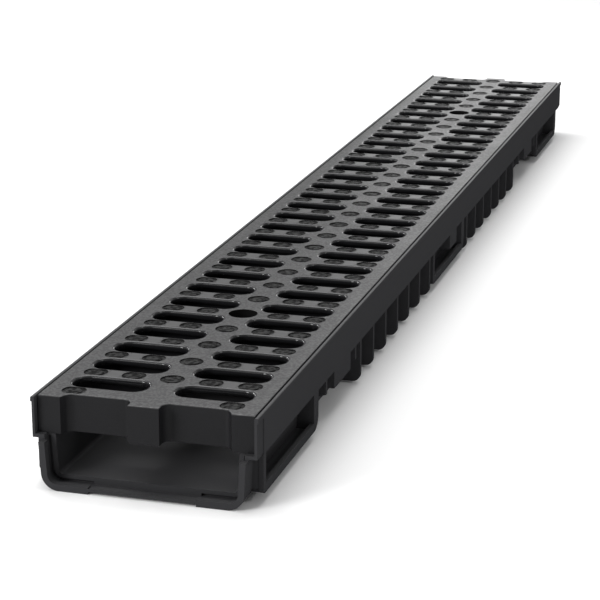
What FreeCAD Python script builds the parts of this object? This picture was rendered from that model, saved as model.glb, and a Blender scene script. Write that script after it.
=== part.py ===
"""Shallow drainage channel with a slotted grating, both moulded in black polypropylene.

The water runs along Y through a U-shaped trough. The origin is the middle of the
underside of the feet, +Z is up and -Y is the socket end. All lengths are in millimetres.
"""
import FreeCAD, Part
import math
import os

V = FreeCAD.Vector
os.makedirs("parts", exist_ok=True)

# ---------------------------------------------------------------- driving dimensions
LENGTH = 1000.0             # laying length, from rail end to rail end
WIDTH = 130.0               # over the outer faces of the rails
HEIGHT = 52.0               # feet to grating top

# Channel: rails, seat and trough
RAIL_WALL = 2.2             # edge rail beside the grating
RAIL_EDGE_RADIUS = 0.9      # rounded top of the rail
RAIL_END_LENGTH = 10.5      # set-back band at each rail end
RAIL_END_STEP = 0.7
RAIL_BEAD_HEIGHT = 3.0      # full-width bead that runs out over the band
SEAT_DEPTH = 21.5           # grating top down to the seat
SEAT_WIDTH = 9.8            # rail to trough
SEAT_THICKNESS = 2.0
FOOT_HEIGHT = 1.4           # underside of the ribs and the collar above the ground
TROUGH_HEIGHT = 4.2         # underside of the trough above the ground
FLOOR_THICKNESS = 2.2
TROUGH_WALL = 2.6
TROUGH_DRAFT = 1.5          # each wall leans in by this much towards the floor
TROUGH_RADIUS = 2.5         # inside, floor to wall

# Joint: the trough's far end lies in the next channel's collar, its lip in the groove
JOINT_CLEARANCE = 0.3

# Socket collar at the -Y end
COLLAR_REACH = 4.5          # front band, past the rails
COLLAR_WALL = 3.4
COLLAR_RADIUS = 10.0
COLLAR_DROP = 0.9           # top of the front band below the seat's underside
COLLAR_BACK = 3.0           # thickness behind the groove
GROOVE_WIDTH = 7.0          # along Y
GROOVE_DEPTH = 1.5          # into the collar wall
TROUGH_SETBACK = 5.0        # trough end behind the front band
FOOT_GAP = 62.0             # between the two feet
SILL_THICKNESS = 1.8        # middle of the front band

# Spigot lip and feet at the +Y end
LIP_LENGTH = 4.2
FAR_FOOT_LENGTH = 14.0
FAR_FOOT_WIDTH = 12.0

# Side frames, ribs and pockets
RIB_THICKNESS = 3.5
RIB_PITCH = 33.0
RIB_GROUPS = ((-283.5, 7), (46.5, 7))     # first rib and number of ribs
RIB_RADIUS = 5.0
FRAME_LENGTH = 109.0
FRAME_STARTS = (-491.0, -74.0, 363.5)
FRAME_FOOT_DEPTH = 46.4     # frame underside below the grating top
FRAME_BAR_HEIGHT = 5.2
FRAME_BAR_WALL = 2.6
FRAME_NEAR_POST = 4.6
FRAME_FAR_POST = 9.5
FRAME_WEB_RISE = 2.5        # end webs stop short of the frame underside
FRAME_NEAR_RADIUS = 3.0
FRAME_FAR_RADIUS = 9.0
TONGUE_DROP = 11.0          # below the rail
LOCK_TONGUE_LENGTH = 38.0
MID_TONGUE_LENGTH = 24.0
TONGUE_OFFSET = -5.0        # tongue centre from its lock row
GUSSET_THICKNESS = 3.0
GUSSET_OUTER_DROP = 8.6     # below the rail, at the rail
GUSSET_INNER_DROP = 12.5    # below the rail, at the trough

# Grating
GRATE_EDGE_CLEARANCE = 0.7  # to each rail
GRATE_LUG_SETBACK = 3.6     # corner lugs behind the rail ends
GRATE_TAB_SETBACK = 0.8     # centre tab behind the rail ends
GRATE_RECESS = 6.0          # hand recesses behind the lugs
GRATE_LUG_WIDTH = 13.0
GRATE_TAB_WIDTH = 18.0
GRATE_RECESS_RADIUS = 5.0
PLATE_THICKNESS = 4.0
SKIRT_WALL = 2.6
ROW_PITCH = 32.28
ROW_COUNT = 30              # slots in each column
SLOT_LENGTH = 43.6
SLOT_WIDTH = 18.6
SLOT_COLUMN_X = 30.25
SLOT_CORNER_RADIUS = 8.0
SLOT_CORNER_FACETS = 3      # sixty slots: facets keep a mesh of the grating light
SLOT_CHAMFER = 0.8
WEB_THICKNESS = 3.0         # across, under each land
SPINE_THICKNESS = 2.0       # along, beside the centre line
SPINE_CLEARANCE = 0.5       # slot end to spine
LOCK_ROW_COUNT = 5          # slots between each end and the land that carries a screw

# Locking screws and bars
SCREW_SINK_DIAMETER = 18.0
SCREW_SINK_DEPTH = 16.0
SCREW_SEAT_THICKNESS = 4.0
SCREW_BOSS_WALL = 2.5
SCREW_DIAMETER = 8.0
SCREW_CLEARANCE = 0.5
SCREW_HEAD_DIAMETER = 13.0
SCREW_HEAD_HEIGHT = 8.0
SCREW_SOCKET_FLATS = 6.0
SCREW_SOCKET_DEPTH = 4.5
SCREW_TIP = 3.0             # below the bar
BAR_THICKNESS = 4.0
BAR_WIDTH = 16.0
BAR_END_CLEARANCE = 1.0     # to the tongue
BAR_WINDOW_CLEARANCE = 2.5

# ---------------------------------------------------------------- derived places
HALF_L = LENGTH / 2
HALF_W = WIDTH / 2
SEAT_Z = HEIGHT - SEAT_DEPTH
LEDGE_Z = SEAT_Z - SEAT_THICKNESS
FLOOR_Z = TROUGH_HEIGHT + FLOOR_THICKNESS
RAIL_INNER = HALF_W - RAIL_WALL
TROUGH_TOP = RAIL_INNER - SEAT_WIDTH
TROUGH_FOOT = TROUGH_TOP - TROUGH_DRAFT
COLLAR_FRONT = -HALF_L - COLLAR_REACH
GROOVE_END = -HALF_L + GROOVE_WIDTH
TROUGH_START = -HALF_L + TROUGH_SETBACK
FRAME_Z = HEIGHT - FRAME_FOOT_DEPTH
ROWS = [(n - int(ROW_COUNT) / 2) * ROW_PITCH for n in range(int(ROW_COUNT) + 1)]
LOCK_ROWS = (ROWS[int(LOCK_ROW_COUNT)], ROWS[-1 - int(LOCK_ROW_COUNT)])
OVERCUT = 1.0               # how far a cutter stands past what it cuts


def box(x0, x1, y0, y1, z0, z1):
    """A block from its lowest to its highest corner, whichever way round x is given."""
    low = min(x0, x1)
    return Part.makeBox(abs(x1 - x0), y1 - y0, z1 - z0, V(low, y0, z0))


def round_edges(solid, radius, keep):
    """Round the straight edges whose middle point passes keep."""
    edges = [e for e in solid.Edges if keep(e)]
    return solid.makeFillet(radius, edges)


def runs_along(edge, axis):
    direction = edge.Vertexes[-1].Point - edge.Vertexes[0].Point
    return abs(abs(direction.normalize().dot(axis)) - 1) < 1e-6


def prism(points, along):
    """Extrude a closed polygon."""
    wire = Part.makePolygon([V(*p) for p in points] + [V(*points[0])])
    return Part.Face(wire).extrude(V(*along))


def u_bar(top, foot, foot_z, top_z, radius, y0, y1):
    """A bar along Y with drafted sides and rounded lower corners. The half widths at its
    top and its foot are given."""
    outline = [(-top, y0, top_z), (-foot, y0, foot_z), (foot, y0, foot_z), (top, y0, top_z)]
    bar = prism(outline, (0, y1 - y0, 0))

    def lower(edge):
        return runs_along(edge, V(0, 1, 0)) and abs(edge.CenterOfMass.z - foot_z) < 1e-6

    return round_edges(bar, radius, lower)


def trough_bar(grow, y0, y1):
    """A bar with the trough's outside, grown by a margin at the sides and below."""
    return u_bar(TROUGH_TOP + TROUGH_WALL + grow, TROUGH_FOOT + TROUGH_WALL + grow,
                 TROUGH_HEIGHT - grow, SEAT_Z, TROUGH_RADIUS + TROUGH_WALL + grow, y0, y1)


# ---------------------------------------------------------------- channel body
def rail(side):
    """Edge rail with a rounded top and a set-back band at each end."""
    bar = box(side * RAIL_INNER, side * HALF_W, -HALF_L, HALF_L, LEDGE_Z, HEIGHT)

    def top(edge):
        return runs_along(edge, V(0, 1, 0)) and abs(edge.CenterOfMass.z - HEIGHT) < 1e-6

    bar = round_edges(bar, RAIL_EDGE_RADIUS, top)
    for end in (-1, 1):
        y0, y1 = sorted((end * (HALF_L - RAIL_END_LENGTH), end * (HALF_L + OVERCUT)))
        x0 = side * (HALF_W - RAIL_END_STEP)
        band_top = HEIGHT - RAIL_BEAD_HEIGHT
        bar = bar.cut(box(x0, side * (HALF_W + OVERCUT), y0, y1, LEDGE_Z - OVERCUT, band_top))
    return bar


def cross_web(side, y, thickness, z0):
    """Wall across the channel's flank, from the trough out to the rail face."""
    return box(side * TROUGH_FOOT, side * HALF_W, y - thickness / 2, y + thickness / 2, z0, LEDGE_Z)


def rib(y):
    """Full-depth rib that runs on under the trough, with rounded feet."""
    return u_bar(HALF_W, HALF_W, FOOT_HEIGHT, LEDGE_Z, RIB_RADIUS,
                 y - RIB_THICKNESS / 2, y + RIB_THICKNESS / 2)


def frame(side, y0):
    """Open side frame: an outer panel with a window, a cross web behind each post, and
    inner webs between them at the ribs' pitch, whose feet fall towards the panel."""
    y1 = y0 + FRAME_LENGTH
    panel = box(side * (HALF_W - FRAME_BAR_WALL), side * HALF_W, y0, y1, FRAME_Z, LEDGE_Z)
    ends = ((y0, FRAME_NEAR_RADIUS), (y1, FRAME_FAR_RADIUS))
    for y, radius in ends:
        def foot_corner(edge):
            middle = edge.CenterOfMass
            at_corner = abs(middle.y - y) < 1e-6 and abs(middle.z - FRAME_Z) < 1e-6
            return runs_along(edge, V(1, 0, 0)) and at_corner
        panel = round_edges(panel, radius, foot_corner)
    window = box(side * (HALF_W - FRAME_BAR_WALL - OVERCUT), side * (HALF_W + OVERCUT),
                 y0 + FRAME_NEAR_POST, y1 - FRAME_FAR_POST,
                 FRAME_Z + FRAME_BAR_HEIGHT, LEDGE_Z)
    panel = panel.cut(window)
    web_z = FRAME_Z + FRAME_WEB_RISE
    webs = [cross_web(side, y, RIB_THICKNESS, web_z + rise)
            for y, rise in ((y0 + FRAME_NEAR_POST / 2, 0.0),
                            (y1 - FRAME_FAR_POST + RIB_THICKNESS / 2, FRAME_FAR_RADIUS / 2))]
    inner = side * TROUGH_FOOT
    outer = side * (HALF_W - FRAME_BAR_WALL)
    corner_top = TROUGH_HEIGHT + TROUGH_RADIUS + TROUGH_WALL
    y = y0 + (FRAME_NEAR_POST - RIB_THICKNESS) / 2 + RIB_PITCH
    while y < y1 - FRAME_FAR_POST - RIB_THICKNESS:
        outline = [(inner, y, LEDGE_Z), (outer, y, LEDGE_Z), (outer, y, FRAME_Z),
                   (inner, y, corner_top)]
        webs.append(prism(outline, (0, RIB_THICKNESS, 0)))
        y += RIB_PITCH
    return [panel] + webs


def tongue(side, centre, length):
    """Plate below the rail, closed by a cross web at each end: a pocket for the lock bar."""
    foot = LEDGE_Z - TONGUE_DROP
    parts = [box(side * RAIL_INNER, side * HALF_W, centre - length / 2, centre + length / 2,
                 foot, LEDGE_Z)]
    for end in (-1, 1):
        y = centre + end * (length - RIB_THICKNESS) / 2
        parts.append(cross_web(side, y, RIB_THICKNESS, foot))
    return parts


def gusset(side, y):
    """Small bracket under the seat whose foot falls towards the trough."""
    inner = side * TROUGH_FOOT
    y0 = y - GUSSET_THICKNESS / 2
    outline = [(inner, y0, LEDGE_Z), (side * HALF_W, y0, LEDGE_Z),
               (side * HALF_W, y0, LEDGE_Z - GUSSET_OUTER_DROP),
               (inner, y0, LEDGE_Z - GUSSET_INNER_DROP)]
    return prism(outline, (0, GUSSET_THICKNESS, 0))


def rib_rows():
    return [first + n * RIB_PITCH for first, count in RIB_GROUPS for n in range(int(count))]


def flank(side):
    """Everything on one side of the trough."""
    parts = [rail(side)]
    parts.append(box(side * TROUGH_FOOT, side * RAIL_INNER, -HALF_L, HALF_L, LEDGE_Z, SEAT_Z))
    for y in FRAME_STARTS:
        parts += frame(side, y)
    near_lock, far_lock = (y + TONGUE_OFFSET for y in LOCK_ROWS)
    for centre in (near_lock, far_lock):
        parts += tongue(side, centre, LOCK_TONGUE_LENGTH)
    parts += tongue(side, TONGUE_OFFSET, MID_TONGUE_LENGTH)
    half = LOCK_TONGUE_LENGTH / 2
    ribs = rib_rows()
    gaps = ((FRAME_STARTS[0] + FRAME_LENGTH, near_lock - half), (near_lock + half, ribs[0]),
            (ribs[-1], far_lock - half), (far_lock + half, FRAME_STARTS[2]))
    parts += [gusset(side, (a + b) / 2) for a, b in gaps]
    return parts


def collar():
    """Bell end: a band with two feet, a low sill between them, and a groove behind it."""
    back = GROOVE_END + COLLAR_BACK
    outside = TROUGH_WALL + JOINT_CLEARANCE + COLLAR_WALL
    bell = u_bar(TROUGH_TOP + outside, TROUGH_FOOT + outside, 0, LEDGE_Z, COLLAR_RADIUS,
                 COLLAR_FRONT, back)
    half_gap = FOOT_GAP / 2
    relief = box(-half_gap, half_gap, COLLAR_FRONT - OVERCUT, back + OVERCUT,
                 -OVERCUT, FOOT_HEIGHT)
    mouth = trough_bar(JOINT_CLEARANCE, COLLAR_FRONT - OVERCUT, -HALF_L)
    groove = trough_bar(JOINT_CLEARANCE + GROOVE_DEPTH, -HALF_L, GROOVE_END)
    sill = box(-half_gap, half_gap, COLLAR_FRONT - OVERCUT, -HALF_L,
               FOOT_HEIGHT + SILL_THICKNESS, LEDGE_Z)
    brow = box(-HALF_W, HALF_W, COLLAR_FRONT - OVERCUT, -HALF_L,
               LEDGE_Z - COLLAR_DROP, LEDGE_Z + OVERCUT)
    return bell.cut([relief, mouth, groove, sill, brow])


def channel_body():
    end = HALF_L + COLLAR_REACH
    trough = trough_bar(0, TROUGH_START, end)
    lip = trough_bar(GROOVE_DEPTH, end - LIP_LENGTH, end)
    half_gap = FOOT_GAP / 2
    stiffener = box(-half_gap, half_gap, TROUGH_START, GROOVE_END, FOOT_HEIGHT, FLOOR_Z)
    solids = [lip, collar(), stiffener] + flank(-1) + flank(1)
    solids += [rib(y) for y in rib_rows()]
    foot_end = HALF_L - COLLAR_REACH - 2 * JOINT_CLEARANCE
    for side in (-1, 1):
        foot_x = side * half_gap
        solids.append(box(foot_x, foot_x + side * FAR_FOOT_WIDTH,
                          foot_end - FAR_FOOT_LENGTH, foot_end, 0, FLOOR_Z))
    body = trough.multiFuse(solids)
    waterway = u_bar(TROUGH_TOP, TROUGH_FOOT, FLOOR_Z, SEAT_Z + OVERCUT, TROUGH_RADIUS,
                     TROUGH_START - OVERCUT, end + OVERCUT)
    # the lip comes down past the seats into the groove, and its top stays under them
    lip_way = trough_bar(GROOVE_DEPTH + JOINT_CLEARANCE, -HALF_L, TROUGH_START)
    lip_top = box(-HALF_W, HALF_W, HALF_L, end + OVERCUT, LEDGE_Z - COLLAR_DROP, SEAT_Z + OVERCUT)
    cuts = [waterway, lip_way, lip_top]
    window_foot = LEDGE_Z - BAR_THICKNESS - JOINT_CLEARANCE
    half = BAR_WIDTH / 2 + BAR_WINDOW_CLEARANCE
    for y in LOCK_ROWS:
        cuts.append(box(-RAIL_INNER, RAIL_INNER, y - half, y + half, window_foot, LEDGE_Z))
    return body.cut(cuts).removeSplitter()


# ---------------------------------------------------------------- grating
GRATE_HALF_W = RAIL_INNER - GRATE_EDGE_CLEARANCE
GRATE_LUG_Y = HALF_L - GRATE_LUG_SETBACK
GRATE_TAB_Y = HALF_L - GRATE_TAB_SETBACK
SPINE_X = SLOT_COLUMN_X - SLOT_LENGTH / 2 - SPINE_CLEARANCE - SPINE_THICKNESS / 2


def slot_outline(grow, z):
    """Slot with rounded corners, grown by a margin all round, as a wire at height z."""
    facets = int(SLOT_CORNER_FACETS)
    centre_x = SLOT_LENGTH / 2 - SLOT_CORNER_RADIUS
    centre_y = SLOT_WIDTH / 2 - SLOT_CORNER_RADIUS
    points = []
    for quarter, (sx, sy) in enumerate(((1, 1), (-1, 1), (-1, -1), (1, -1))):
        for step in range(facets + 1):
            angle = math.radians(90 * (quarter + step / facets))
            points.append(V(sx * centre_x + (SLOT_CORNER_RADIUS + grow) * math.cos(angle),
                            sy * centre_y + (SLOT_CORNER_RADIUS + grow) * math.sin(angle), z))
    return Part.makePolygon(points + points[:1])


def slot_cutter():
    """Slot through the plate with a chamfered mouth."""
    throat = Part.Face(slot_outline(0, HEIGHT - PLATE_THICKNESS - OVERCUT))
    throat = throat.extrude(V(0, 0, PLATE_THICKNESS + 2 * OVERCUT))
    mouth = Part.makeLoft([slot_outline(0, HEIGHT - SLOT_CHAMFER),
                           slot_outline(SLOT_CHAMFER, HEIGHT)], True, True)
    return throat.fuse(mouth)


def hand_recess(end, side):
    """Shallow bay in the end of the grating between a corner lug and the centre tab."""
    x0 = GRATE_TAB_WIDTH / 2
    x1 = GRATE_HALF_W - GRATE_LUG_WIDTH
    floor_y = GRATE_LUG_Y - GRATE_RECESS
    flare = GRATE_RECESS / 2
    mouth_y = GRATE_TAB_Y + OVERCUT
    z0 = SEAT_Z - OVERCUT
    outline = [(side * x0, end * mouth_y, z0), (side * x0, end * floor_y, z0),
               (side * (x1 - flare), end * floor_y, z0), (side * x1, end * GRATE_LUG_Y, z0),
               (side * x1, end * mouth_y, z0)]
    bay = prism(outline, (0, 0, SEAT_DEPTH + 2 * OVERCUT))

    def corner(edge):
        middle = edge.CenterOfMass
        return runs_along(edge, V(0, 0, 1)) and abs(abs(middle.y) - floor_y) < 1e-6

    return round_edges(bay, GRATE_RECESS_RADIUS, corner)


def pockets():
    """Hollows under the plate, which leave the skirt, the webs and the spines."""
    plate_foot = HEIGHT - PLATE_THICKNESS
    outer = GRATE_HALF_W - SKIRT_WALL
    cells = []
    for low, high in zip(ROWS[:-1], ROWS[1:]):
        y0 = low + WEB_THICKNESS / 2
        y1 = high - WEB_THICKNESS / 2
        for x0, x1 in ((-outer, -SPINE_X - SPINE_THICKNESS / 2),
                       (-SPINE_X + SPINE_THICKNESS / 2, SPINE_X - SPINE_THICKNESS / 2),
                       (SPINE_X + SPINE_THICKNESS / 2, outer)):
            cells.append(box(x0, x1, y0, y1, SEAT_Z - OVERCUT, plate_foot))
    return cells


def grating():
    block = box(-GRATE_HALF_W, GRATE_HALF_W, -GRATE_LUG_Y, GRATE_LUG_Y, SEAT_Z, HEIGHT)
    half_tab = GRATE_TAB_WIDTH / 2
    block = block.fuse(box(-half_tab, half_tab, -GRATE_TAB_Y, GRATE_TAB_Y, SEAT_Z, HEIGHT))
    seat_z = HEIGHT - SCREW_SINK_DEPTH
    boss_foot = seat_z - SCREW_SEAT_THICKNESS
    bosses = []
    cuts = [hand_recess(end, side) for end in (-1, 1) for side in (-1, 1)]
    for y in LOCK_ROWS:
        centre = V(0, y, 0)
        boss_radius = SCREW_SINK_DIAMETER / 2 + SCREW_BOSS_WALL
        bosses.append(Part.makeCylinder(boss_radius, HEIGHT - boss_foot,
                                        centre + V(0, 0, boss_foot)))
        cuts.append(Part.makeCylinder(SCREW_SINK_DIAMETER / 2, SCREW_SINK_DEPTH + OVERCUT,
                                      centre + V(0, 0, seat_z)))
        cuts.append(Part.makeCylinder(SCREW_DIAMETER / 2 + SCREW_CLEARANCE,
                                      HEIGHT, centre + V(0, 0, SEAT_Z - OVERCUT)))
    block = block.cut(pockets()).multiFuse(bosses)
    slot = slot_cutter()
    for low, high in zip(ROWS[:-1], ROWS[1:]):
        for side in (-1, 1):
            cuts.append(slot.translated(V(side * SLOT_COLUMN_X, (low + high) / 2, 0)))
    return block.cut(cuts).removeSplitter()


# ---------------------------------------------------------------- locking bars and screws
BAR_TOP = LEDGE_Z


def locking_bar(y):
    """Flat bar under the seats, tapped in the middle for the screw."""
    half = RAIL_INNER - BAR_END_CLEARANCE
    bar = box(-half, half, y - BAR_WIDTH / 2, y + BAR_WIDTH / 2, BAR_TOP - BAR_THICKNESS, BAR_TOP)
    return bar.cut(Part.makeCylinder(SCREW_DIAMETER / 2, HEIGHT, V(0, y, 0)))


def locking_screw(y):
    """Cap screw whose head sits at the bottom of the grating's counterbore."""
    seat_z = HEIGHT - SCREW_SINK_DEPTH
    tip_z = BAR_TOP - BAR_THICKNESS - SCREW_TIP
    shank = Part.makeCylinder(SCREW_DIAMETER / 2, seat_z - tip_z, V(0, y, tip_z))
    head = Part.makeCylinder(SCREW_HEAD_DIAMETER / 2, SCREW_HEAD_HEIGHT, V(0, y, seat_z))
    head_top = seat_z + SCREW_HEAD_HEIGHT
    corner = SCREW_SOCKET_FLATS / math.sqrt(3)
    hexagon = [(corner * math.cos(math.radians(60 * k)), y + corner * math.sin(math.radians(60 * k)),
                head_top - SCREW_SOCKET_DEPTH) for k in range(6)]
    socket = prism(hexagon, (0, 0, SCREW_SOCKET_DEPTH + OVERCUT))
    return shank.fuse(head).cut(socket).removeSplitter()


def build():
    parts = {"channel_body": channel_body(), "grating": grating()}
    for y, place in zip(LOCK_ROWS, ("near", "far")):
        parts["locking_bar_" + place] = locking_bar(y)
        parts["locking_screw_" + place] = locking_screw(y)
    return parts


for name, shape in build().items():
    print(name, len(shape.Solids), "solid", round(shape.Volume / 1000, 1), "cm3",
          "valid" if shape.isValid() else "NOT VALID")
    solid = shape.Solids[0] if len(shape.Solids) == 1 else shape
    solid.exportStep("parts/" + name + ".step")
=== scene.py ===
"""A one metre polypropylene drainage channel with its slotted grating in place.

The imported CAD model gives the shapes. Here the two mouldings get their rounded edges, the
slots their full curves, the lands their grip discs, and everything its finish.
Lengths are in metres, in the part's own frame: Y along the channel, Z up, ground at z = 0.
"""
import math

import bmesh
import bpy
from mathutils import Matrix, Vector


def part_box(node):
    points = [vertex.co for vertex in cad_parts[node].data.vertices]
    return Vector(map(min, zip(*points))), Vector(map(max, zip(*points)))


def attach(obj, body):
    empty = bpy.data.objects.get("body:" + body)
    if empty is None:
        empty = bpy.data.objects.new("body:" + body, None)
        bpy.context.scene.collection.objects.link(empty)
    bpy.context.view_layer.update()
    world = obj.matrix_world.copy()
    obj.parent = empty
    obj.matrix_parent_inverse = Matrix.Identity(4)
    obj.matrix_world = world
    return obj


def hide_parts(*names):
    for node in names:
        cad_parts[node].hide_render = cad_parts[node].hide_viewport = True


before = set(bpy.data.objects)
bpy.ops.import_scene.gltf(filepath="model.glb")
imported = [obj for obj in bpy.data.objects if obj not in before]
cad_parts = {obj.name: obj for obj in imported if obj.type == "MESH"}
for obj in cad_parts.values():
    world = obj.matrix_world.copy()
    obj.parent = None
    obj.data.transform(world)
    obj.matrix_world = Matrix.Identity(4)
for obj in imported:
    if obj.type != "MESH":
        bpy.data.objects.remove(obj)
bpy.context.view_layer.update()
MM = 0.001


# ---------------------------------------------------------------- channel body
# Trough, seats, edge rails, ribs, side frames, socket collar and spigot, injection moulded
# in one piece from black polypropylene. The mould leaves every edge slightly rounded and
# the skin satin, with a faint flow pattern in it.
CHANNEL_EDGE = 0.45 * MM        # rounding left by the mould
CHANNEL_COLOUR = (0.036, 0.036, 0.038, 1)
POCKET_STARTS = (-488.7 * MM, -71.7 * MM, 365.8 * MM)
POCKET_LENGTH = 98.95 * MM      # between the frames' end webs
POCKET_INNER = 52 * MM          # from inside the trough's wall
POCKET_OUTER = 62.4 * MM        # to the inner face of the frame
POCKET_TOP = 28.5 * MM
POCKET_FLOOR = 5.8 * MM
POCKET_FLOOR_THICKNESS = 1.4 * MM
POCKET_END_TOP = 20 * MM        # up to the far end web, which stops short of the foot
WEB_THICKNESS = 3.5 * MM
TOLERANCE = 0.1 * MM
OVERLAP = 0.05 * MM             # of the pocket's end over the far end web
FLAT_ANGLE = math.radians(1)    # faces closer to one plane than this become one face
CORNER_ANGLE = math.radians(50)     # outward corners that the mould rounds
SHARP_ANGLE = math.radians(34)


def welded_copy(node, name):
    """A new piece with a CAD node's shape, its triangles welded at their shared corners."""
    piece = bpy.data.objects.new(name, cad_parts[node].data.copy())
    bpy.context.scene.collection.objects.link(piece)
    mesh = bmesh.new()
    mesh.from_mesh(piece.data)
    bmesh.ops.remove_doubles(mesh, verts=mesh.verts, dist=1e-6)
    return piece, mesh


def finish_piece(piece, mesh, material_slot, *nodes):
    """Smooth shading up to the sharp edges, flat faces kept flat beside their rounded
    edges, and the piece takes its nodes' place."""
    mesh.to_mesh(piece.data)
    mesh.free()
    piece.data.shade_smooth()
    piece.data.set_sharp_from_angle(angle=SHARP_ANGLE)
    flat_faces = piece.modifiers.new("flat_faces", "WEIGHTED_NORMAL")
    flat_faces.keep_sharp = True
    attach(piece, "root")
    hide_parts(*nodes)


def moulded_skin():
    """Shared by the mouldings: fine grain, faint flow marks in the gloss, and a speckled mask
    of the faces that look up, for the coat that paints a sheen on the tops and not on the sides."""
    group = bpy.data.node_groups.new("moulded_skin", "ShaderNodeTree")
    for name, value in (("Grain Size", 1200.0), ("Grain Depth", 0.1),
                        ("Gloss Low", 0.35), ("Gloss High", 0.5),
                        ("Speckle Size", 700.0), ("Speckle Low", 1.0)):
        socket = group.interface.new_socket(name, in_out="INPUT", socket_type="NodeSocketFloat")
        socket.default_value = value
    group.interface.new_socket("Roughness", in_out="OUTPUT", socket_type="NodeSocketFloat")
    group.interface.new_socket("Upward", in_out="OUTPUT", socket_type="NodeSocketFloat")
    group.interface.new_socket("Normal", in_out="OUTPUT", socket_type="NodeSocketVector")
    nodes, links = group.nodes, group.links
    given = nodes.new("NodeGroupInput")
    out = nodes.new("NodeGroupOutput")
    place = nodes.new("ShaderNodeTexCoord")
    grain = nodes.new("ShaderNodeTexNoise")
    grain.inputs["Detail"].default_value = 3
    links.new(place.outputs["Object"], grain.inputs["Vector"])
    links.new(given.outputs["Grain Size"], grain.inputs["Scale"])
    bump = nodes.new("ShaderNodeBump")
    bump.inputs["Distance"].default_value = 0.2 * MM
    links.new(given.outputs["Grain Depth"], bump.inputs["Strength"])
    links.new(grain.outputs["Fac"], bump.inputs["Height"])
    flow = nodes.new("ShaderNodeTexNoise")
    flow.inputs["Scale"].default_value = 24
    flow.inputs["Detail"].default_value = 2
    links.new(place.outputs["Object"], flow.inputs["Vector"])
    gloss = nodes.new("ShaderNodeMapRange")
    gloss.inputs["From Min"].default_value = 0.35
    gloss.inputs["From Max"].default_value = 0.65
    links.new(flow.outputs["Fac"], gloss.inputs["Value"])
    links.new(given.outputs["Gloss Low"], gloss.inputs["To Min"])
    links.new(given.outputs["Gloss High"], gloss.inputs["To Max"])
    axes = nodes.new("ShaderNodeSeparateXYZ")
    links.new(place.outputs["Normal"], axes.inputs["Vector"])
    upward = nodes.new("ShaderNodeMapRange")
    upward.inputs["From Min"].default_value = 0.3
    upward.inputs["From Max"].default_value = 0.9
    links.new(axes.outputs["Z"], upward.inputs["Value"])
    spots = nodes.new("ShaderNodeTexNoise")
    spots.inputs["Detail"].default_value = 1
    links.new(place.outputs["Object"], spots.inputs["Vector"])
    links.new(given.outputs["Speckle Size"], spots.inputs["Scale"])
    speckle = nodes.new("ShaderNodeMapRange")
    speckle.inputs["From Min"].default_value = 0.42
    speckle.inputs["From Max"].default_value = 0.6
    links.new(spots.outputs["Fac"], speckle.inputs["Value"])
    links.new(given.outputs["Speckle Low"], speckle.inputs["To Min"])
    mask = nodes.new("ShaderNodeMath")
    mask.operation = "MULTIPLY"
    links.new(upward.outputs["Result"], mask.inputs[0])
    links.new(speckle.outputs["Result"], mask.inputs[1])
    links.new(gloss.outputs["Result"], out.inputs["Roughness"])
    links.new(mask.outputs["Value"], out.inputs["Upward"])
    links.new(bump.outputs["Normal"], out.inputs["Normal"])
    return group


def polypropylene(name, colour, shine, top_sheen, coat_ior, skin, **values):
    """A black polypropylene on the moulded skin, with a coat on its upward faces only: a painted
    sheen on the tops.
    """
    material = bpy.data.materials.new(name)
    material.use_nodes = True
    tree = material.node_tree
    shader = tree.nodes["Principled BSDF"]
    shader.inputs["Base Color"].default_value = colour
    shader.inputs["IOR"].default_value = 1.49
    shader.inputs["Specular IOR Level"].default_value = shine
    shader.inputs["Coat IOR"].default_value = coat_ior
    shader.inputs["Coat Roughness"].default_value = 0.42
    surface = tree.nodes.new("ShaderNodeGroup")
    surface.node_tree = skin
    for socket, value in values.items():
        surface.inputs[socket.replace("_", " ")].default_value = value
    # Coat on the upward faces only, a painted sheen that makes the tops brighter than the sides.
    if top_sheen:
        top_sheen_weight = tree.nodes.new("ShaderNodeMapRange")
        top_sheen_weight.inputs["To Max"].default_value = top_sheen
        tree.links.new(surface.outputs["Upward"], top_sheen_weight.inputs["Value"])
        tree.links.new(top_sheen_weight.outputs["Result"], shader.inputs["Coat Weight"])
    tree.links.new(surface.outputs["Roughness"], shader.inputs["Roughness"])
    tree.links.new(surface.outputs["Normal"], shader.inputs["Normal"])
    return material


skin = moulded_skin()
# No specular on the channel, and a coat of 0.9 on its upward faces: a painted sheen on the tops
# only.
channel_plastic = polypropylene("channel_polypropylene", CHANNEL_COLOUR, 0.0, 0.9, 1.5, skin,
                                Grain_Size=900.0, Grain_Depth=0.12,
                                Gloss_Low=0.38, Gloss_High=0.48)

channel, mesh = welded_copy("channel_body", "channel_moulding")

# Each side frame has one long open pocket behind its window, with a floor from the bar to
# the trough: the solid's inner webs are taken out and their footprints closed.
web_rows = [start + POCKET_LENGTH * k / 3 for start in POCKET_STARTS for k in (1, 2)]


def in_web(vertex, row):
    x, y, z = abs(vertex.co.x), vertex.co.y, vertex.co.z
    return (abs(y - row) < WEB_THICKNESS / 2 + TOLERANCE
            and POCKET_INNER < x < POCKET_OUTER + TOLERANCE and z < POCKET_TOP + TOLERANCE)


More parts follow.
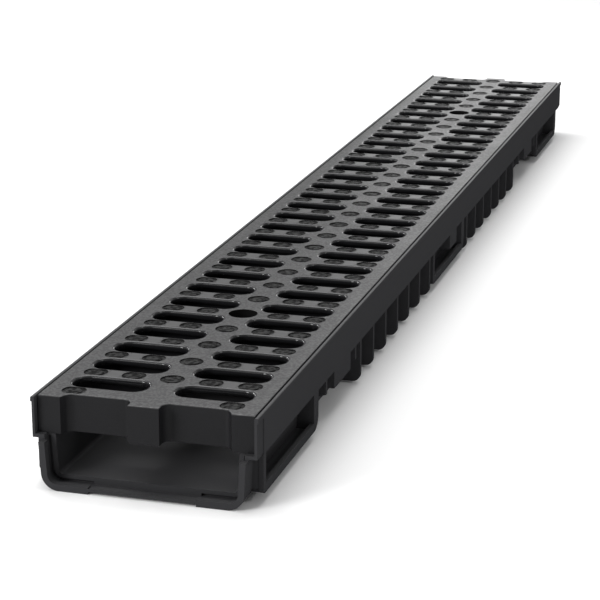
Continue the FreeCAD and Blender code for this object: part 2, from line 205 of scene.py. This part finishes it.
web = [f for f in mesh.faces if any(all(in_web(v, row) for v in f.verts) for row in web_rows)]
bmesh.ops.delete(mesh, geom=web, context="FACES")
pocket_middle = (POCKET_INNER + POCKET_OUTER) / 2
open_corners = [v for v in mesh.verts if v.is_boundary and abs(v.co.z - POCKET_TOP) < TOLERANCE
                and abs(v.co.x) < pocket_middle]
for side in (-1, 1):
    for row in web_rows:
        pair = [v for v in open_corners
                if v.co.x * side > 0 and abs(v.co.y - row) < WEB_THICKNESS]
        bmesh.ops.contextual_create(mesh, geom=pair)
bmesh.ops.holes_fill(mesh, edges=[e for e in mesh.edges if e.is_boundary or e.is_wire], sides=24)
for side in (-1, 1):
    for start in POCKET_STARTS:
        far_web = start + POCKET_LENGTH
        for low_y, high_y, high_z in ((start, far_web, POCKET_FLOOR + POCKET_FLOOR_THICKNESS),
                                      (far_web - WEB_THICKNESS / 2 - OVERLAP, far_web,
                                       POCKET_END_TOP)):
            middle = Vector((side * pocket_middle, (low_y + high_y) / 2,
                             (POCKET_FLOOR + high_z) / 2))
            size = (POCKET_OUTER - POCKET_INNER, high_y - low_y, high_z - POCKET_FLOOR, 1)
            bmesh.ops.create_cube(mesh, size=1, matrix=Matrix.Translation(middle)
                                  @ Matrix.Diagonal(size))

bmesh.ops.dissolve_limit(mesh, angle_limit=FLAT_ANGLE, verts=mesh.verts, edges=mesh.edges)
sharp = [e for e in mesh.edges
         if len(e.link_faces) == 2 and e.calc_length() > 3 * CHANNEL_EDGE
         and e.calc_face_angle_signed() > CORNER_ANGLE]
bmesh.ops.bevel(mesh, geom=sharp, offset=CHANNEL_EDGE, offset_type="OFFSET", affect="EDGES",
                segments=2, profile=0.5, material=-1, clamp_overlap=True)
channel.data.materials.clear()
channel.data.materials.append(channel_plastic)
finish_piece(channel, mesh, "channel_polypropylene", "channel_body")


# ---------------------------------------------------------------- grating
# One polypropylene moulding that drops between the rails and rests on the seats. Two
# columns of round-cornered slots run through its plate, each with a rolled lip, and the
# skirt and the rib lattice under the plate are the CAD model's own.
GRATING_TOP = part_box("grating")[1].z
PLATE = 4 * MM                  # plate thickness
GRATING_EDGE = 0.7 * MM
ROW_PITCH = 32.28 * MM
ROWS = 30                       # slots in each column
SLOT_LENGTH = 43.6 * MM
SLOT_WIDTH = 18.6 * MM
SLOT_CORNER = 8 * MM
SLOT_COLUMN = 30.25 * MM        # middle of a slot from the centre line
SLOT_LIP = 1.4 * MM
SLOT_DRAFT = 0.3 * MM
SLOT_STEPS = 32                 # vertices round one slot
SLOTS_FROM = 7.5 * MM           # the solid's slots lie between these two distances from the
SLOTS_TO = 53.5 * MM            # centre line, and no farther along than this from the middle
SLOTS_END = 480 * MM
HOLES_ACROSS = 15 * MM          # the screw holes lie inside these distances
HOLES_ALONG = 400 * MM
GRATING_COLOUR = (0.011, 0.011, 0.012, 1)


def level(vertex, z):
    return abs(vertex.co.z - z) < 1e-5


def round_slot(mesh, grow, z):
    """Edges of one slot's outline about the origin, grown by a margin all round."""
    turn = Matrix.Translation((0, 0, z)) @ Matrix.Rotation(math.pi / SLOT_STEPS, 4, "Z")
    ring = bmesh.ops.create_circle(mesh, segments=SLOT_STEPS, radius=SLOT_CORNER + grow,
                                   matrix=turn)["verts"]
    for v in ring:
        v.co.x += math.copysign(SLOT_LENGTH / 2 - SLOT_CORNER, v.co.x)
        v.co.y += math.copysign(SLOT_WIDTH / 2 - SLOT_CORNER, v.co.y)
    return list({e for v in ring for e in v.link_edges})


def lined_hole(mesh, rings):
    """Bridges a stack of outlines into the wall of a hole."""
    for upper, lower in zip(rings[:-1], rings[1:]):
        bmesh.ops.bridge_loops(mesh, edges=upper + lower)


grating, mesh = welded_copy("grating", "grating_moulding")
plate_foot = GRATING_TOP - PLATE
old_faces = []
for f in mesh.faces:
    middle = f.calc_center_median()
    flat = abs(f.normal.z) > 0.99 and (level(f.verts[0], GRATING_TOP)
                                       or level(f.verts[0], plate_foot))
    in_slot = (min(v.co.z for v in f.verts) > plate_foot - 1e-5
               and SLOTS_FROM < abs(middle.x) < SLOTS_TO and abs(middle.y) < SLOTS_END)
    if flat or in_slot:
        old_faces.append(f)
bmesh.ops.delete(mesh, geom=old_faces, context="FACES")
bmesh.ops.delete(mesh, geom=[e for e in mesh.edges if not e.link_faces], context="EDGES")
bmesh.ops.delete(mesh, geom=[v for v in mesh.verts if not v.link_faces], context="VERTS")

bmesh.ops.dissolve_limit(mesh, angle_limit=FLAT_ANGLE, verts=mesh.verts, edges=mesh.edges)

# The outer rim of the plate, rolled over.
rim = [e for e in mesh.edges if e.is_boundary and all(level(v, GRATING_TOP) for v in e.verts)]
outer = [e for e in rim if max(abs(v.co.x) for v in e.verts) > HOLES_ACROSS
         or max(abs(v.co.y) for v in e.verts) > HOLES_ALONG]
cap = bmesh.ops.contextual_create(mesh, geom=outer)["faces"]
for v in cap[0].verts:
    v.co.z -= GRATING_EDGE
steps = 3
for k in range(steps):
    before, after = math.pi / 2 * k / steps, math.pi / 2 * (k + 1) / steps
    bmesh.ops.inset_region(mesh, faces=cap, use_even_offset=True,
                           thickness=(math.cos(before) - math.cos(after)) * GRATING_EDGE)
    for v in cap[0].verts:
        v.co.z = GRATING_TOP - (1 - math.sin(after)) * GRATING_EDGE
bmesh.ops.delete(mesh, geom=cap, context="FACES_ONLY")

# One slot, then all sixty.
steps = 4
profile = [(SLOT_LIP * (1 - math.sin(a)), GRATING_TOP - SLOT_LIP * (1 - math.cos(a)))
           for a in (math.pi / 2 * k / steps for k in range(steps + 1))]
profile.append((-SLOT_DRAFT, plate_foot))
rings = [round_slot(mesh, grow, z) for grow, z in profile]
lined_hole(mesh, rings)
pattern = list({v for ring in rings for e in ring for v in e.verts})
pattern += list({g for v in pattern for g in list(v.link_edges) + list(v.link_faces)})
for g in pattern:
    if isinstance(g, bmesh.types.BMFace):
        g.material_index = 1
for row in range(ROWS):
    for side in (-1, 1):
        copy = bmesh.ops.duplicate(mesh, geom=pattern)["geom"]
        bmesh.ops.translate(mesh, verts=[g for g in copy if isinstance(g, bmesh.types.BMVert)],
                            vec=(side * SLOT_COLUMN, (row + 0.5 - ROWS / 2) * ROW_PITCH, 0))
bmesh.ops.delete(mesh, geom=[g for g in pattern if isinstance(g, bmesh.types.BMVert)],
                 context="VERTS")


# ---------------------------------------------------------------- grip discs
# A round pad, a ring groove round a low knurled boss, is moulded into each land between the
# slots and cut off there by the slots' lips, with a smooth panel between each two. The screw
# lands have none on the centre line, and the front land has only its two corner ones.
DISC_RADIUS = 7 * MM
DISC_DEPTH = 0.6 * MM
DISC_WALL = 0.4 * MM
DISC_FALL = 0.1 * MM            # the groove's floor falls towards the boss
DISC_BOSS = 4.4 * MM            # radius of the knurled middle
DISC_BOSS_RISE = 0.35 * MM
DISC_COLUMN = 22.8 * MM
DISC_STEPS = 20
LAND_HALF = 5.3 * MM            # flat part of a land, from its middle line
PANEL_HALF = 3.6 * MM
SCREW_ROWS = (5, 25)


def spread(mesh, pattern_verts, places, material_index):
    """Copies a pattern about the origin to each place, and removes the first one."""
    pattern = list(pattern_verts)
    pattern += list({g for v in pattern for g in list(v.link_edges) + list(v.link_faces)})
    for g in pattern:
        if isinstance(g, bmesh.types.BMFace):
            g.material_index = material_index
    for x, y in places:
        copy = bmesh.ops.duplicate(mesh, geom=pattern)["geom"]
        bmesh.ops.translate(mesh, verts=[g for g in copy if isinstance(g, bmesh.types.BMVert)],
                            vec=(x, y, 0))
    bmesh.ops.delete(mesh, geom=list(pattern_verts), context="VERTS")


def grip_disc(mesh, half_land):
    """One pad about the origin, no wider along Y than its land."""
    rings = []
    for radius, z in ((DISC_RADIUS, 0), (DISC_RADIUS - DISC_WALL, -DISC_DEPTH),
                      (DISC_BOSS + DISC_WALL, -DISC_DEPTH - DISC_FALL),
                      (DISC_BOSS, DISC_BOSS_RISE - DISC_DEPTH)):
        ring = bmesh.ops.create_circle(mesh, segments=DISC_STEPS, radius=radius,
                                       matrix=Matrix.Translation((0, 0, GRATING_TOP + z)))["verts"]
        limit = half_land + z * DISC_WALL / DISC_DEPTH
        for v in ring:
            v.co.y = max(-limit, min(limit, v.co.y))
        rings.append(list({e for v in ring for e in v.link_edges}))
    lined_hole(mesh, rings)
    bmesh.ops.contextual_create(mesh, geom=rings[-1])
    return {v for ring in rings for e in ring for v in e.verts}


row_y = [(row - ROWS / 2) * ROW_PITCH for row in range(ROWS + 1)]
middle_rows = [row_y[row] for row in range(1, ROWS + 1) if row not in SCREW_ROWS]
spread(mesh, grip_disc(mesh, DISC_RADIUS), [(0, y) for y in middle_rows], 2)
side_places = [(column * DISC_COLUMN, y) for y in row_y for column in (-2, -1, 1, 2)
               if y != row_y[0] or abs(column) == 2]
spread(mesh, grip_disc(mesh, LAND_HALF), side_places, 2)
panel = bmesh.ops.create_grid(mesh, x_segments=1, y_segments=1, size=1,
                              matrix=Matrix.Translation((0, 0, GRATING_TOP))
                              @ Matrix.Diagonal((PANEL_HALF, LAND_HALF, 1, 1)))["verts"]
spread(mesh, panel, [(side * 1.5 * DISC_COLUMN, y) for y in row_y[1:] for side in (-1, 1)], 3)

# The screws' counterbores take the discs' dark material, a painted shade in the holes.
SCREW_PLACE = 322.8 * MM
COUNTERBORE = 9.3 * MM
for f in mesh.faces:
    if all(math.hypot(v.co.x, abs(v.co.y) - SCREW_PLACE) < COUNTERBORE for v in f.verts):
        f.material_index = 2

# The plate's top and underside close up everything round the slots, discs and screw holes.
# The rim's long edges are divided first, a piece to each row of slots.
long_edges = [e for e in mesh.edges if e.is_boundary and e.calc_length() > 10 * ROW_PITCH]
bmesh.ops.subdivide_edges(mesh, edges=long_edges, cuts=ROWS)
for z, up in ((GRATING_TOP, 1), (plate_foot, -1)):
    edges = [e for e in mesh.edges
             if len(e.link_faces) < 2 and all(level(v, z) for v in e.verts)]
    bmesh.ops.triangle_fill(mesh, use_beauty=True, edges=edges, normal=(0, 0, up))
bmesh.ops.dissolve_degenerate(mesh, dist=0.001 * MM, edges=mesh.edges)
bmesh.ops.recalc_face_normals(mesh, faces=mesh.faces)

grating.data.materials.clear()
# The fourth column is the coat on the upward faces, a painted sheen on the tops.
for name, colour, shine, top_sheen, coat_ior, grain_depth, gloss, speckle_size, speckle_low in (
        ("grating_polypropylene", GRATING_COLOUR, 0.1, 1.0, 1.62, 0.45, (0.38, 0.46), 700.0, 0.6),
        ("slot_lip_polypropylene", GRATING_COLOUR, 0.42, 0.0, 1.5, 0.05, (0.22, 0.26), 700.0, 1.0),
        ("grip_disc_polypropylene", (0.006, 0.006, 0.006, 1), 0.02, 0.5, 1.5, 0.9, (0.4, 0.5),
         330.0, 0.0),
        ("smooth_panel_polypropylene", (0.034, 0.034, 0.035, 1), 0.1, 0.8, 1.5, 0.05,
         (0.32, 0.38), 700.0, 1.0)):
    grating.data.materials.append(polypropylene(
        name, colour, shine, top_sheen, coat_ior, skin, Grain_Size=1500.0, Grain_Depth=grain_depth,
        Gloss_Low=gloss[0], Gloss_High=gloss[1], Speckle_Size=speckle_size,
        Speckle_Low=speckle_low))
finish_piece(grating, mesh, "grating_polypropylene", "grating")
for face in grating.data.polygons:
    face.use_smooth = face.material_index != 2


# ---------------------------------------------------------------- locking bars and screws
# A cap screw in each counterbore of the grating pulls a flat bar up against the underside
# of the seats. Both are steel with a bright zinc plating.
zinc = bpy.data.materials.new("zinc_plated_steel")
zinc.use_nodes = True
zinc_shader = zinc.node_tree.nodes["Principled BSDF"]
zinc_shader.inputs["Base Color"].default_value = (0.45, 0.46, 0.48, 1)
zinc_shader.inputs["Metallic"].default_value = 1
zinc_shader.inputs["Roughness"].default_value = 0.38
for name in ("locking_bar_near", "locking_bar_far", "locking_screw_near", "locking_screw_far"):
    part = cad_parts[name]
    part.data.materials.clear()
    part.data.materials.append(zinc)


# ---------------------------------------------------------------- floor, light and camera
# A pale floor, one wide soft light overhead, one at the front left, a small one on each side
# that picks out the slots' lips, and a low wide one behind, whose reflection is the sheen
# that grows along the grating.
FLOOR_SIZE = 12

floor_mesh = bmesh.new()
bmesh.ops.create_grid(floor_mesh, x_segments=1, y_segments=1, size=FLOOR_SIZE / 2)
floor = bpy.data.objects.new("floor", bpy.data.meshes.new("floor"))
floor_mesh.to_mesh(floor.data)
floor_mesh.free()
bpy.context.scene.collection.objects.link(floor)
pale = bpy.data.materials.new("pale_floor")
pale.use_nodes = True
pale.node_tree.nodes["Principled BSDF"].inputs["Base Color"].default_value = (0.86, 0.86, 0.86, 1)
pale.node_tree.nodes["Principled BSDF"].inputs["Roughness"].default_value = 0.9
floor.data.materials.append(pale)

world = bpy.data.worlds.new("studio")
world.use_nodes = True
world.node_tree.nodes["Background"].inputs["Color"].default_value = (1, 1, 1, 1)
world.node_tree.nodes["Background"].inputs["Strength"].default_value = 0.4
bpy.context.scene.world = world


def soft_light(name, place, target, size, power):
    lamp = bpy.data.lights.new(name, "AREA")
    lamp.shape = "DISK"
    lamp.size = size
    lamp.energy = power
    light = bpy.data.objects.new(name, lamp)
    light.location = place
    light.rotation_euler = (Vector(target) - Vector(place)).to_track_quat("-Z", "Y").to_euler()
    bpy.context.scene.collection.objects.link(light)


soft_light("overhead", (-0.3, 0.3, 1.8), (0, 0, 0), 2.0, 38)
soft_light("front_left", (-1.2, -1.8, 0.9), (0, -0.3, 0), 0.9, 32)
soft_light("left_side", (-1.5, 0.6, 0.85), (0, 0, 0), 0.25, 7)
soft_light("right_side", (1.5, -0.5, 0.95), (0, 0, 0), 0.25, 4)
soft_light("behind", (0, 3.0, 0.36), (0, 0, 0), 1.6, 10)

camera = bpy.data.objects.new("camera", bpy.data.cameras.new("camera"))
camera.location = (0.364, -1.4517, 0.418)
camera.rotation_euler = (math.radians(73.23), 0, math.radians(16.178))
camera.data.lens = 120.9
camera.data.sensor_width = 36
bpy.context.scene.collection.objects.link(camera)
bpy.context.scene.camera = camera
bpy.context.scene.view_settings.view_transform = "Standard"
